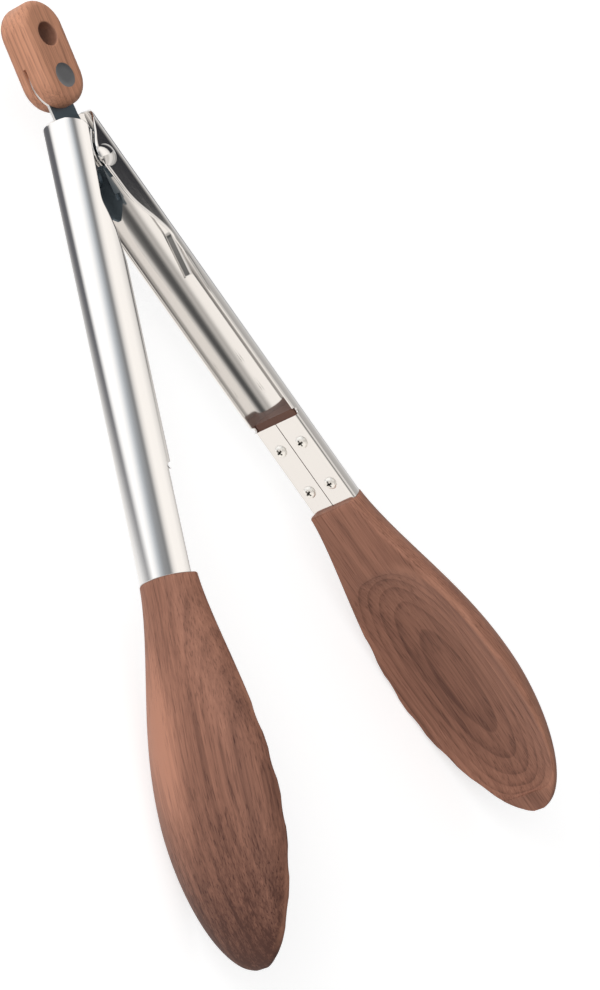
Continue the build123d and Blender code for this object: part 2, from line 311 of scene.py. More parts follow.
def d_outline(radius, base, corner, gap, turns=49, runs=9, bends=7):
    """Outline of a half disc about the rim line, cut flat at base, from one side of a gap in the flat round
    to the other. Each corner is an arc tangent to the flat and, from inside, to the circle."""
    low = base - sizes().rim
    centre = math.sqrt((radius - corner) ** 2 - (low + corner) ** 2)
    touch = math.atan2(low + corner, centre)
    flat = np.stack([np.linspace(gap / 2, centre, runs), np.full(runs, low)], -1)
    bend = np.linspace(-math.pi / 2, touch, bends)[1:]
    soft = [centre, low + corner] + corner * circle(bend)
    turn = np.linspace(touch, math.pi / 2, turns)[1:]
    back = radius * circle(turn)
    half = np.concatenate([flat, soft, back])
    other = half[-2::-1] * [-1, 1]
    line = np.concatenate([half, other])
    return np.stack([line[:, 1] + sizes().rim, line[:, 0]], -1)


def ferrule_loops():
    """Closed sections of the folded end: its outline, and the same outline a sheet's thickness inside."""
    size = sizes()
    outer = d_outline(size.channel_radius, size.rim, FLAP_CORNER, FLAP_SEAM)
    inner = d_outline(size.channel_radius - size.sheet, size.rim + size.sheet, FLAP_INNER_CORNER, FLAP_SEAM)
    loop = np.concatenate([outer, inner[::-1]])
    return np.roll(spread(loop, np.linspace(FERRULE_START, FERRULE_END, FERRULE_SECTIONS)), 1, -1)


def ear_loops(face):
    """A flat ear of the left arm: its outline at both faces of the sheet, face being +1 or -1."""
    outline = rounded_path(INNER_EAR, INNER_EAR_ROUNDS)
    return spread(outline, face * np.array([INNER_EAR_Z - sizes().sheet, INNER_EAR_Z]))


class TONGS_OT_arms(bpy.types.Operator):
    """Steel channel arms with their ears and folded ferrules"""

    bl_idname = "tongs.arms"
    bl_label = "Arms"

    def execute(self, context):
        steel = polished_steel()
        for name, side in ARM_SIDES.items():
            solids = [channel_loops(*ARM_EDGES[name]), ferrule_loops()]
            if name == "left":
                solids += [ear_loops(1), ear_loops(-1)]
            shells = [(open_out(loops, side), tube(loops)) for loops in solids]
            grain = np.concatenate([loops.reshape(-1, 3) for loops in solids])
            arm = new_piece(f"{name}_channel_arm", shells, steel, grain)
            arm.visible_glossy = side > 0
            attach(arm, f"{name}_arm")
            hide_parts(f"{name}_arm")
        return {"FINISHED"}


# Wooden tips

TIP_LENGTH = 123.7 * MM
TIP_SHARE = 0.9978     # the last section's place, just short of the end
TIP_SECTIONS = 190
TIP_CROWDING = 1.9     # power by which the sections crowd towards the end
TENON_START = 101.5 * MM
TENON_RADIUS = 9.05 * MM
TENON_CORNER = 0.4 * MM
COLLAR_HALF = 10.15 * MM
COLLAR_DEPTH = 12.3 * MM
COLLAR_ROUND = 0.5 * MM
WIDEST = 0.6           # share of the tip's length
WIDTH_POWER = 1.4
END_POWER = 1.78
DEEPEST = 0.47
DEPTH_POWER = 1.9
DEPTH_ROUND = 0.6
RIM_START = -0.6 * MM
RIM_DROP = 1.0 * MM
RIM_ROUND = 1.3 * MM
RIM_ROUND_LIMIT = 0.45  # largest round, as a share of the tip's half width or depth
SECTION_POWER = 2 / 2.3
BOWL_PLACE = 209.0 * MM
BOWL_HALF_LENGTH = 45.0 * MM
BOWL_HALF_WIDTH = 23.2 * MM
BOWL_SOFTNESS = 0.5 * MM
BOWL_CLEAR = 2 * MM    # how far the bowl's profile stays off the face past its ends
FACE_LIFT = 0.06 * MM
BITE_RADIUS = 30.0 * MM
BITE_FADE = 0.15 * MM
BITE_START = 0.3       # share of the rim's round where a bite starts
BITES = np.array([187.0, 202.0, 217.0, 232.0, 246.5]) * MM
BACK_POINTS = 91
FACE_POINTS = 91


def tip_half_width(share):
    """Half width: a sine power up to the widest place, then a blunt oval end."""
    rise = np.sin(math.pi / 2 * np.clip(share / WIDEST, 0, 1)) ** WIDTH_POWER
    fall = np.clip((share - WIDEST) / (1 - WIDEST), 0, 1)
    return (COLLAR_HALF + (sizes().tip_half_width - COLLAR_HALF) * rise) * np.sqrt(1 - fall ** END_POWER)


def tip_back(share):
    """Depth of the back behind the rim: a squared sine up to the deepest place, then a rounded fall."""
    rise = np.sin(math.pi / 2 * np.clip(share / DEEPEST, 0, 1)) ** 2
    fall = np.clip((share - DEEPEST) / (1 - DEEPEST), 0, 1)
    deep = COLLAR_DEPTH + (sizes().tip_depth - COLLAR_DEPTH) * rise
    return deep * (1 - fall ** DEPTH_POWER) ** DEPTH_ROUND


def soft_max(a, b, width):
    """The larger of two heights, rounded where they cross over about the given width."""
    return 0.5 * (a + b + np.sqrt((a - b) ** 2 + width ** 2))


def tip_loops(share):
    """Closed sections of the carved tip. The back is a blunt half oval; the face is flat with rounded rims,
    lowered by the bowl, an oval profile turned about an axis above the face; along each rim a row of shallow
    bites, arcs in the arm's direction, is planed off at 45 degrees."""
    size = sizes()
    share = share[:, None]
    along = FERRULE_END + TIP_LENGTH * share
    half, back = tip_half_width(share), tip_back(share)
    rim = RIM_START - RIM_DROP * share
    soft = np.minimum(RIM_ROUND, np.minimum(half, back) * RIM_ROUND_LIMIT)
    a = np.linspace(0, math.pi, BACK_POINTS)[None]
    back_z = half * np.sign(np.cos(a)) * np.abs(np.cos(a)) ** SECTION_POWER
    back_y = rim + soft + (back - soft) * np.abs(np.sin(a)) ** SECTION_POWER
    u = -np.cos(np.linspace(0, math.pi, FACE_POINTS + 2))[None, 1:-1]
    face_z = half * u
    over = np.clip((np.abs(face_z) - half + soft) / np.maximum(soft, 1e-9), 0, 1)
    face_y = rim + soft * (1 - np.sqrt(1 - over ** 2))
    reach = (BOWL_HALF_WIDTH ** 2 - size.bowl_depth ** 2) / (2 * size.bowl_depth)
    away = (along - BOWL_PLACE) / BOWL_HALF_LENGTH
    swell = reach + size.bowl_depth * np.sqrt(np.clip(1 - away ** 2, 0, 1)) - BOWL_CLEAR * (np.abs(away) >= 1)
    level = RIM_START - RIM_DROP * (BOWL_PLACE - FERRULE_END) / TIP_LENGTH - reach
    bowl_y = level + np.sqrt(np.maximum(swell ** 2 - face_z ** 2, 0))
    face_y = soft_max(face_y, bowl_y, BOWL_SOFTNESS) - FACE_LIFT
    out = np.concatenate([back_y, face_y], 1)
    side = np.concatenate([back_z, face_z], 1)
    arcs = size.bite_depth - (along - BITES[None]) ** 2 / (2 * BITE_RADIUS)
    bite = np.max(arcs, axis=1, keepdims=True)
    corner = ((np.abs(side) - half) - (out - rim)) / math.sqrt(2)
    limit = -BITE_START * soft - np.maximum(bite, 0)
    cut = np.maximum(corner - limit, 0) * smoothstep(bite / BITE_FADE)
    out = out + cut / math.sqrt(2)
    side = side - np.sign(side) * cut / math.sqrt(2)
    return np.stack([np.broadcast_to(along, out.shape), out, side], -1)


def tenon_loop(along, radius):
    """Section of the tenon: a half disc whose flat lies under the flaps."""
    line = d_outline(radius, sizes().rim + sizes().sheet, TENON_CORNER, 0.0, runs=2)[1:-1]
    steps = np.linspace(0, len(line) - 1, BACK_POINTS)
    back = np.stack([np.interp(steps, np.arange(len(line)), line[:, k]) for k in (0, 1)], -1)
    face = back[-1] + (back[0] - back[-1]) * np.linspace(0, 1, FACE_POINTS + 2)[1:-1, None]
    loop = np.concatenate([back, face])
    return np.column_stack([np.full(len(loop), along), loop])


def inset(loop, amount):
    """A section drawn in towards its middle by about the given amount."""
    middle = loop.mean(0)
    off = loop - middle
    length = np.linalg.norm(off, axis=1, keepdims=True)
    return middle + off * (1 - amount / length)


class TONGS_OT_tips(bpy.types.Operator):
    """Carved walnut tips with their tenons"""

    bl_idname = "tongs.tips"
    bl_label = "Tips"

    def execute(self, context):
        share = TIP_SHARE * (1 - (1 - np.linspace(0, 1, TIP_SECTIONS)) ** TIP_CROWDING)
        share[1] = COLLAR_ROUND / TIP_LENGTH
        carved = tip_loops(share)
        collar = inset(carved[0], COLLAR_ROUND)
        tenon = [tenon_loop(along, TENON_RADIUS) for along in (TENON_START, FERRULE_END)]
        loops = np.concatenate([np.stack([*tenon, collar]), carved[1:]])
        for name, side in ARM_SIDES.items():
            shell = (open_out(loops, side), tube(loops))
            tip = new_piece(f"{name}_walnut_tip", [shell], walnut(name), loops, sharp=50, weld=2e-6)
            tip.visible_glossy = side > 0
            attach(tip, f"{name}_arm")
            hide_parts(f"{name}_tip")
        return {"FINISHED"}


# Screws, rivets, spring and pull

SCREW_ALONG = np.array([112.8, 129.35]) * MM
SCREW_ACROSS = 5.0 * MM
SCREW_RADIUS = 2.2 * MM
SCREW_HEAD = 1.2 * MM
SCREW_STEPS = 96
SCREW_RINGS = 34
SCREW_RING_POWER = 0.9  # spreads the rings towards the middle
SCREW_DOME_POWER = 2.4
SCREW_CROSS = 0.28 * MM
SCREW_CROSS_REACH = 1.1 * MM
SCREW_CROSS_DEPTH = 0.75 * MM
SCREW_CROSS_WALL = 0.16 * MM
SCREW_CROSS_END = 0.2 * MM
SHANK_RADIUS = 1.1 * MM
SHANK_LENGTH = 4.0 * MM
SCREW_TURNS = {"right": (20, 8, 25, 3), "left": (35, 12, 50, 22)}
HEAD_SEAT = 10.1 * MM
HEAD_RADIUS = 3.75 * MM
HEAD_HEIGHT = 1.6 * MM
HEAD_EDGE = 0.15 * MM
PIVOT_RADIUS = 2.0 * MM


def screw_loops(turn):
    """A pan head seen along its axis: rings whose height is a flattened dome, less a cross-shaped recess with
    sloped walls, closed under the head by a short shank. Given as (outwards, two across), with how far each
    point lies in the recess."""
    angle = round_angles(SCREW_STEPS)[None]
    ring = np.linspace(1, 0, SCREW_RINGS)[:, None]
    radius = SCREW_RADIUS * np.sin(ring * math.pi / 2) ** SCREW_RING_POWER
    x, y = radius * np.cos(angle), radius * np.sin(angle)
    dome = SCREW_HEAD * np.sqrt(np.clip(1 - (radius / SCREW_RADIUS) ** SCREW_DOME_POWER, 0, 1)) + 0 * angle
    c, s = math.cos(math.radians(turn)), math.sin(math.radians(turn))
    p, q = np.abs(c * x + s * y), np.abs(c * y - s * x)
    within = (SCREW_CROSS - np.minimum(p, q)) / SCREW_CROSS_WALL
    short = (SCREW_CROSS_REACH - np.maximum(p, q)) / SCREW_CROSS_END
    recess = smoothstep(within + 0.5) * smoothstep(short + 0.5)
    head = np.stack([-(dome - SCREW_CROSS_DEPTH * recess), x, y], -1)
    foot = np.roll(spread(SHANK_RADIUS * circle(angle[0]), [SHANK_LENGTH, 0.0]), 1, -1)
    depth = np.concatenate([np.zeros((2, angle.size)), recess])
    return np.concatenate([foot, head]), depth


def turned(profile, steps=96):
    """Rings of a piece turned about Z, from (radius, height) pairs."""
    angle = round_angles(steps)[None]
    radius, height = (np.asarray(profile, float)[:, k][:, None] for k in (0, 1))
    return np.stack([radius * np.cos(angle), radius * np.sin(angle), height + 0 * angle], -1)


class TONGS_OT_screws(bpy.types.Operator):
    """Pan head screws with cross recesses in the flaps"""

    bl_idname = "tongs.screws"
    bl_label = "Screws"

    def execute(self, context):
        steel = screw_steel()
        for name, side in ARM_SIDES.items():
            places = [(a, c) for a in SCREW_ALONG for c in (-SCREW_ACROSS, SCREW_ACROSS)]
            for number, ((along, across), turn) in enumerate(zip(places, SCREW_TURNS[name]), 1):
                rings, depth = screw_loops(turn)
                local = rings[..., [1, 0, 2]] + [along, sizes().rim, across]
                marks = np.stack([depth, local[..., 0], local[..., 2]], -1)
                shell = (open_out(local, side), tube(local))
                screw = new_piece(f"{name}_screw_{number}", [shell], steel, marks, sharp=60)
                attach(screw, f"{name}_arm")
                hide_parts(f"{name}_tip_screw_{number}")
        return {"FINISHED"}


class TONGS_OT_rivets(bpy.types.Operator):
    """Domed pivot rivet and the dark flush rivet of the pull"""

    bl_idname = "tongs.rivets"
    bl_label = "Rivets"

    def execute(self, context):
        ball = (HEAD_RADIUS ** 2 + HEAD_HEIGHT ** 2) / (2 * HEAD_HEIGHT)
        reach = math.asin(HEAD_RADIUS / ball)
        a = np.linspace(reach, 0, 24)
        dome = np.stack([ball * np.sin(a), HEAD_SEAT + HEAD_HEIGHT - ball + ball * np.cos(a)], -1)
        half = np.concatenate([[(PIVOT_RADIUS, HEAD_SEAT), (HEAD_RADIUS - HEAD_EDGE, HEAD_SEAT)], dome])
        rings = turned(np.concatenate([half[::-1] * [1, -1], half]))
        shell = (rings + PIVOT, tube(rings))
        rivet = new_piece("pivot_dome_rivet", [shell], polished_steel(), rings, sharp=50)
        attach(rivet, "pivot")
        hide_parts("pivot_rivet")
        radius, top = TAB_RIVET_RADIUS, TAB_HALF_THICK + TAB_RIVET_LIFT
        seat = top - TAB_RIVET_DISC
        edge = np.array([radius, top]) - np.array(TAB_RIVET_EDGE) * MM
        face = np.array([(TAB_RIVET_SHANK, seat), (radius, seat), *edge, (radius / 2, top), (0, top)])
        rings = turned(np.concatenate([face[::-1] * [1, -1], face]))
        placed = askew(rings + [TAB_RIVET_PLACE, 0, 0])
        disc = new_piece("pull_flush_rivet", [(placed, tube(rings))], rivet_steel(), rings)
        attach(disc, "lock")
        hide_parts("tab_rivet")
        return {"FINISHED"}


STRIP = 0.6 * MM
STRIP_WIDTH = 3.9 * MM
STRIP_ACROSS = 3.55 * MM
SPRING_LEG = np.array([(14.0, 8.8), (33.0, 8.8), (47.9, 5.2)]) * MM
SPRING_BEND = 3.55 * MM
SPRING_ROUND = 12 * MM


def spring_half():
    """Middle line of the right leg, from the bend's crown to the leg's end: an arc about the pivot, a
    straight run tangent to it, a soft corner onto the channel's floor, and a soft bend inwards. Points are
    spread evenly."""
    floor, press, end = (open_out(np.pad(SPRING_LEG, ((0, 0), (0, 1))), 1) - PIVOT)[:, :2]
    lean = math.atan2(floor[1], floor[0]) - math.asin(SPRING_BEND / np.linalg.norm(floor))
    a = np.linspace(math.pi, math.pi / 2 + lean, 28)
    bend = SPRING_BEND * circle(a)
    leg = rounded_path([bend[-1], floor, press, end], [SPRING_ROUND, SPRING_ROUND])
    line = np.concatenate([bend, leg[1:]])
    run = np.concatenate([[0], np.cumsum(np.linalg.norm(np.diff(line, axis=0), axis=1))])
    even = np.linspace(0, run[-1], 140)
    return np.stack([np.interp(even, run, line[:, k]) for k in (0, 1)], -1)


class TONGS_OT_spring(bpy.types.Operator):
    """Leaf spring in two halves, one for each arm"""

    bl_idname = "tongs.spring"
    bl_label = "Spring"

    def execute(self, context):
        line = spring_half()
        split = STRIP_ACROSS + np.linspace(-0.5, 0.5, 5) * STRIP_WIDTH
        rows, cols = len(line), len(split)
        quads = np.array(grid_faces(rows, cols)).reshape(rows - 1, cols, 4)
        quads = quads[:, :-1].reshape(-1, 4).tolist()
        flat = spread(line, split).swapaxes(0, 1)
        for name, side in ARM_SIDES.items():
            points = flat * [1, side, 1] + PIVOT
            half = new_piece(f"{name}_spring_leg", [(points, quads)], polished_steel(), flat)
            wall = half.modifiers.new("Sheet", "SOLIDIFY")
            wall.thickness, wall.offset = STRIP, 0
            half.visible_glossy = False
            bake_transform(half)
            if side > 0:
                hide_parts("leaf_spring")
        return {"FINISHED"}


TAB_PLACE = -37.55 * MM
TAB_HALF_RUN = 8.04 * MM
TAB_RADIUS = 9.75 * MM
TAB_HALF_THICK = 6.0 * MM
TAB_ROUND = 3.0 * MM
TAB_RIVET_PLACE = -28.95 * MM
TAB_RIVET_RADIUS = 4.2 * MM
TAB_RIVET_SHANK = 1.8 * MM
TAB_RIVET_DISC = 0.8 * MM
TAB_RIVET_LIFT = 0.05 * MM
TAB_RIVET_EDGE = ((0, 0.12), (0.04, 0.03), (0.15, 0))  # its softened edge, inwards and down, in millimetres
TAB_LEAN = math.radians(2.0)
TAB_ROLL = math.radians(-5.0)
HANG_PLACE = -43.2 * MM
HANG_RADIUS = 3.9 * MM
HANG_ROUND = 0.7 * MM
KERF_END = -34.5 * MM
KERF_HALF = 0.5 * MM
KERF_DEPTH = 6.0 * MM
KERF_RUN_OUT = 0.5 * MM
KERF_LIP = (-0.01 * MM, 0.03 * MM)
TAB_POINTS = 240


def tab_outline(draw_in):
    """Points of the pull's outline, two half circles joined by straight runs, drawn in by an amount. Points
    are spread evenly along the outline."""
    turn = math.pi * TAB_RADIUS
    run = 2 * TAB_HALF_RUN
    t = (np.arange(TAB_POINTS) + 0.5) / TAB_POINTS * 2 * (turn + run)
    second = t >= turn + run
    t = np.where(second, t - turn - run, t)
    angle = np.minimum(t / TAB_RADIUS, math.pi) - math.pi / 2
    past = np.maximum(t - turn, 0)
    x = TAB_HALF_RUN - past + (TAB_RADIUS - draw_in) * np.cos(angle)
    y = (TAB_RADIUS - draw_in) * np.sin(angle)
    flip = np.where(second, -1, 1)
    return np.stack([x * flip + TAB_PLACE, y * flip], -1)


def askew(points):
    """Places in the frame of points of the pull: rolled about its length, then leaned about the pivot."""
    x, y, z = np.moveaxis(points, -1, 0)
    c, s = math.cos(TAB_ROLL), math.sin(TAB_ROLL)
    y, z = c * y - s * z, s * y + c * z
    c, s = math.cos(TAB_LEAN), math.sin(TAB_LEAN)
    return np.stack([c * x + s * y, c * y - s * x, z], -1) + PIVOT


def tab_half(slope):
    """Upper half of the pull as outlines: from the saw kerf pressed into the outer wall up to a rounded
    edge, across the face to the hang hole and down its wall. The kerf lies in the plate's plane, which slopes
    across the pull."""
    base = tab_outline(0)
    kerf = smoothstep((base[:, 0] - KERF_END) / KERF_RUN_OUT) * KERF_DEPTH
    cut = [tab_outline(kerf), tab_outline(kerf), base]
    lifts = [0.0, *(KERF_HALF + lip for lip in KERF_LIP)]
    wall = [raised(line, lift - slope * line[:, 1]) for line, lift in zip(cut, lifts)]
    top = raised(base, TAB_HALF_THICK - TAB_ROUND)
    wall += [wall[2] * (1 - t) + top * t for t in (0.1, 0.4, 0.7, 1.0)]
    beta = np.linspace(0, math.pi / 2, 13)[1:]
    levels = TAB_HALF_THICK - TAB_ROUND * (1 - np.sin(beta))
    wall += [raised(tab_outline(TAB_ROUND * (1 - math.cos(b))), level) for b, level in zip(beta, levels)]
    rim = wall[-1]
    aim = np.arctan2(rim[:, 1], rim[:, 0] - HANG_PLACE)
    ring = circle(aim)
    gamma = np.linspace(0, math.pi / 2, 9)
    mouth = [(HANG_RADIUS + HANG_ROUND * (1 - math.sin(g)), TAB_HALF_THICK - HANG_ROUND * (1 - math.cos(g)))
             for g in gamma] + [(HANG_RADIUS, 0.5 * TAB_HALF_THICK), (HANG_RADIUS, 0.0)]
    hole = [raised(r * ring + [HANG_PLACE, 0], z) for r, z in mouth]
    face = [rim * (1 - t) + hole[0] * t for t in np.linspace(0, 1, 14)[1:-1]]
    return np.stack(wall + face + hole)


def tab_loops():
    """The pull as a closed ring of outlines: its upper half, and the lower half mirrored below."""
    slope = math.tan(TAB_ROLL)
    return np.concatenate([tab_half(slope), tab_half(-slope)[-2:0:-1] * [1, 1, -1]])


class TONGS_OT_pull(bpy.types.Operator):
    """Walnut pull with its hang hole and saw kerf"""

    bl_idname = "tongs.pull"
    bl_label = "Pull"

    def execute(self, context):
        loops = tab_loops()
        pull = new_piece("walnut_pull", [(askew(loops), grid_faces(*loops.shape[:2], wrap_rows=True))],
                         walnut("pull"), loops, sharp=40)
        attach(pull, "lock")
        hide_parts("pull_tab")
        return {"FINISHED"}


class TONGS_OT_plates(bpy.types.Operator):
    """Finish of the frame's own flat plates: the lock plate, the catches and the sleeve"""

    bl_idname = "tongs.plates"
    bl_label = "Plates"

    def execute(self, context):
        for node in ("lock_plate", "left_catch", "right_catch", "pivot_sleeve"):
            plate = frame["nodes"][node]
            plate.data.materials.clear()
            plate.data.materials.append(plate_steel())
        return {"FINISHED"}


# Materials

PLATE_BLUE = (0.10, 0.13, 0.155)
SCREW_BRIGHT = (0.95, 0.93, 0.89)
# painted shade laid in the screws' cross recesses
SCREW_RECESS_SHADE = (0.05, 0.042, 0.036)
RIVET_DARK = (0.23, 0.235, 0.245)
STREAK_SCALE = (30.0, 4000.0, 4000.0)
STREAK_BUMP = 0.03
BUMP_DISTANCE = 0.1 * MM


def link(tree, *pairs):
    """Links from outputs to inputs, as pairs."""
    for out, into in pairs:
        tree.links.new(out, into)


def add(tree, kind, **values):
    """A new node with its settings."""
    node = tree.nodes.new(kind)
    for key, value in values.items():
        setattr(node, key, value)
    return node


def put(node, values):
    """Plain values for a node's inputs, by label or number."""
    for label, value in values.items():
        node.inputs[label].default_value = value


def maths(tree, operation, *values):
    """A math node on sockets or plain numbers."""
    node = add(tree, "ShaderNodeMath", operation=operation)
    for socket, value in zip(node.inputs, values):
        if isinstance(value, (int, float)):
            socket.default_value = value
        else:
            tree.links.new(value, socket)
    return node.outputs[0]


def total(tree, *values):
    """Sum of sockets and plain numbers."""
    return reduce(lambda a, b: maths(tree, "ADD", a, b), values)


def product(tree, *values):
    """Product of sockets and plain numbers."""
    return reduce(lambda a, b: maths(tree, "MULTIPLY", a, b), values)


def power(tree, value, exponent):
    """Power of a socket's size, whatever its sign."""
    return maths(tree, "POWER", maths(tree, "ABSOLUTE", value), exponent)


def distance(tree, a, b):
    """Root of the sum of two squares."""
    return maths(tree, "SQRT", total(tree, product(tree, a, a), product(tree, b, b)))


def axes(tree, vector):
    """The three values of a vector socket."""
    node = add(tree, "ShaderNodeSeparateXYZ")
    tree.links.new(vector, node.inputs[0])
    return tuple(node.outputs)


def ramp(tree, value, stops):
    """A colour ramp with (place, colour) stops."""
    node = add(tree, "ShaderNodeValToRGB")
    elements = node.color_ramp.elements
    while len(elements) < len(stops):
        elements.new(0.5)
    for element, (place, colour) in zip(elements, stops):
        element.position = place
        element.color = (*colour, 1)
    tree.links.new(value, node.inputs[0])
    return node.outputs[0]


def soft_step(tree, value, low, high):
    """Smooth step of a socket from 0 at low to 1 at high."""
    node = add(tree, "ShaderNodeMapRange", interpolation_type="SMOOTHSTEP")
    put(node, {"From Min": low, "From Max": high})
    tree.links.new(value, node.inputs["Value"])
    return node.outputs[0]


def blend(tree, share, first, second):
    """Colour mix of sockets or plain colours."""
    node = add(tree, "ShaderNodeMix", data_type="RGBA")
    tree.links.new(share, node.inputs["Factor"])
    for socket, value in ((node.inputs[6], first), (node.inputs[7], second)):
        if isinstance(value, tuple):
            socket.default_value = (*value, 1)
        else:
            tree.links.new(value, socket)
    return node.outputs[2]


def stretched_noise(tree, place, scales, detail, rough=0.5):
    """Noise from 0 to 1, stretched along the axes."""
    stretch = add(tree, "ShaderNodeVectorMath", operation="MULTIPLY")
    put(stretch, {1: scales})
    texture = add(tree, "ShaderNodeTexNoise")
    put(texture, {"Scale": 1.0, "Detail": detail, "Roughness": rough})
    link(tree, (place, stretch.inputs[0]), (stretch.outputs[0], texture.inputs["Vector"]))
    return texture.outputs["Fac"]


def add_bump(tree, shader, height, strength):
    """A faint height in a shader's normal."""
    bump = add(tree, "ShaderNodeBump")
    put(bump, {"Strength": strength, "Distance": BUMP_DISTANCE})
    link(tree, (height, bump.inputs["Height"]), (bump.outputs[0], shader.inputs["Normal"]))


def new_material(name):
    """A material with its node tree and Principled shader; these are None if it was made before."""
    found = bpy.data.materials.get(name)
    if found:
        return found, None, None
    material = bpy.data.materials.new(name)
    material.use_nodes = True
    return material, material.node_tree, material.node_tree.nodes["Principled BSDF"]


def new_group(name, inputs, outputs):
    """A node group and its two end nodes, from {label: socket type}; these are None if it was made before."""
    found = bpy.data.node_groups.get(name)
    if found:
        return found, None, None
    group = bpy.data.node_groups.new(name, "ShaderNodeTree")
    for in_out, sockets in (("INPUT", inputs), ("OUTPUT", outputs)):
        for label, kind in sockets.items():
            group.interface.new_socket(label, in_out=in_out, socket_type=f"NodeSocket{kind}")
    return group, add(group, "NodeGroupInput"), add(group, "NodeGroupOutput")


def streak_group():
    """Node group: fine drawn lines along the first axis of a vector."""
    group, given, result = new_group("Drawn streaks", {"Vector": "Vector"}, {"Streaks": "Float"})
    if given:
        streaks = stretched_noise(group, given.outputs["Vector"], STREAK_SCALE, 3.0)
        link(group, (streaks, result.inputs["Streaks"]))
    return group


def steel_nodes(tree, shader, vector, rough, vary, colour):
    """Steel: metallic, with streaks that vary its roughness about a mean and give it a faint height."""
    group = add(tree, "ShaderNodeGroup", node_tree=streak_group())
    streaks = group.outputs["Streaks"]
    level = maths(tree, "MULTIPLY_ADD", streaks, vary, rough - vary / 2)
    link(tree, (vector, group.inputs["Vector"]), (level, shader.inputs["Roughness"]))
    put(shader, {"Base Color": (*colour, 1), "Metallic": 1.0})
    add_bump(tree, shader, streaks, STREAK_BUMP)


def attribute_vector(tree):
    """Each point's place in its piece's own straight frame."""
    return add(tree, "ShaderNodeAttribute", attribute_name="grain").outputs["Vector"]


def polished_steel():
    """Bright drawn steel of the arms, the pivot's rivet and the spring."""
    material, tree, shader = new_material("polished_steel")
    if tree:
        steel_nodes(tree, shader, attribute_vector(tree), 0.075, 0.04, colours().steel)
    return material


def plate_steel():
    """Blued flat plate whose cut edges above the pivot are a painted highlight of bright steel, told apart by
    the way a face looks.
    """
    material, tree, shader = new_material("plate_steel")
    if tree:
        place = add(tree, "ShaderNodeTexCoord")
        steel_nodes(tree, shader, place.outputs["Object"], 0.5, 0.1, colours().steel)
        along = axes(tree, place.outputs["Object"])[0]
        upright = maths(tree, "ABSOLUTE", axes(tree, place.outputs["Normal"])[2])
        # painted highlight: bright steel on the plate's cut edges above the pivot
        edge = product(tree, soft_step(tree, upright, 0.8, 0.6),
                       soft_step(tree, along, PIVOT[0] - 8 * MM, PIVOT[0] - 10 * MM))
        link(tree, (blend(tree, edge, PLATE_BLUE, tuple(colours().steel)), shader.inputs["Base Color"]))
    return material


def screw_steel():
    """Bright screw with painted shade in its dark recess; the grain's first value tells how deep a place is in
    the recess.
    """
    material, tree, shader = new_material("screw_steel")
    if tree:
        place = attribute_vector(tree)
        steel_nodes(tree, shader, place, 0.4, 0.05, colours().steel)
        # painted shade: darker the deeper a place lies in the cross recess
        deep = soft_step(tree, axes(tree, place)[0], 0.15, 0.6)
        link(tree, (blend(tree, deep, SCREW_BRIGHT, SCREW_RECESS_SHADE), shader.inputs["Base Color"]))
    return material


def rivet_steel():
    """Dark dull steel of the pull's rivet."""
    material, tree, shader = new_material("rivet_steel")
    if tree:
        steel_nodes(tree, shader, attribute_vector(tree), 0.4, 0.1, RIVET_DARK)
    return material


# Where each piece was cut from the log in metres, with its tone; Drift is a change of tone per metre
# Spot is a soft oval change of tone: darker in the right tip's bowl, and lighter on the left tip, where it is
# partly a painted sheen
WALNUT_CUTS = {
    "right": {"Ring": 0.0009, "Ring depth": 0.3, "Heart out": 0.3, "Heart across": -0.004, "Wander": 0.0009,
              "Tone": 0.24, "Drift": 0.8, "Spot": 0.25, "Spot along": 0.205, "Spot across": -0.009,
              "Spot length": 0.035, "Spot width": 0.016},
    "left": {"Ring": 0.0034, "Ring depth": 0.14, "Heart out": 0.03, "Heart across": 0.14, "Wander": 0.002,
             "Tone": -0.02, "Drift": 3.6, "Spot": -0.75, "Spot along": 0.188, "Spot across": -0.009,
             "Spot length": 0.028, "Spot width": 0.012},
    "pull": {"Ring": 0.0016, "Ring depth": 0.3, "Heart out": 0.03, "Heart across": 0.05, "Wander": 0.003,
             "Tone": 0.23, "Drift": 3.0, "Spot": 0.0, "Spot along": 0.0, "Spot across": 0.0,
             "Spot length": 1.0, "Spot width": 1.0},
}
# The pull's early wood, lighter than the tips': partly its own paler wood and partly painted light, making up
# for the little light that falls on its face
PULL_LIGHT = (0.62, 0.295, 0.18)
WALNUT_SHADE = (0.15, 0.075, 0.056)
# Colour of the painted highlight along the upper edge of each tip's bowl, and how much of it is laid on
BOWL_HIGHLIGHT = (0.56, 0.27, 0.175)
BOWL_HIGHLIGHT_SHARE = 0.4
HOLE_SHARE = 0.7
WALNUT_BUMP = 0.25
WALNUT_GLOSS = (0.1, 0.46)      # roughness: its rise with the tone, and its least
LATE_WOOD = (3.0, 24.0)         # powers of a ring's slow darkening and of its sharp end
LATE_MEAN = 0.2
PORE_LEVELS = (-0.06, -0.14)    # noise at which pores begin and are full
PORE_DARK = 0.2
PORE_DEPTH = 0.8
FINE_DEPTH = 0.5
# Noise in waves per metre along, outwards and across the grain, with its detail and gain
WANDER_NOISE = ((14, 60, 60), 2.0, 1.0)
PORE_NOISE = ((100, 2600, 2600), 2.0, 1.0)
FINE_NOISE = ((30, 1500, 1500), 3.0, 0.7, 0.6)
BROAD_NOISE = ((6, 60, 60), 3.0, 0.55)
STREAK_NOISE = ((10, 330, 330), 3.0, 0.55)


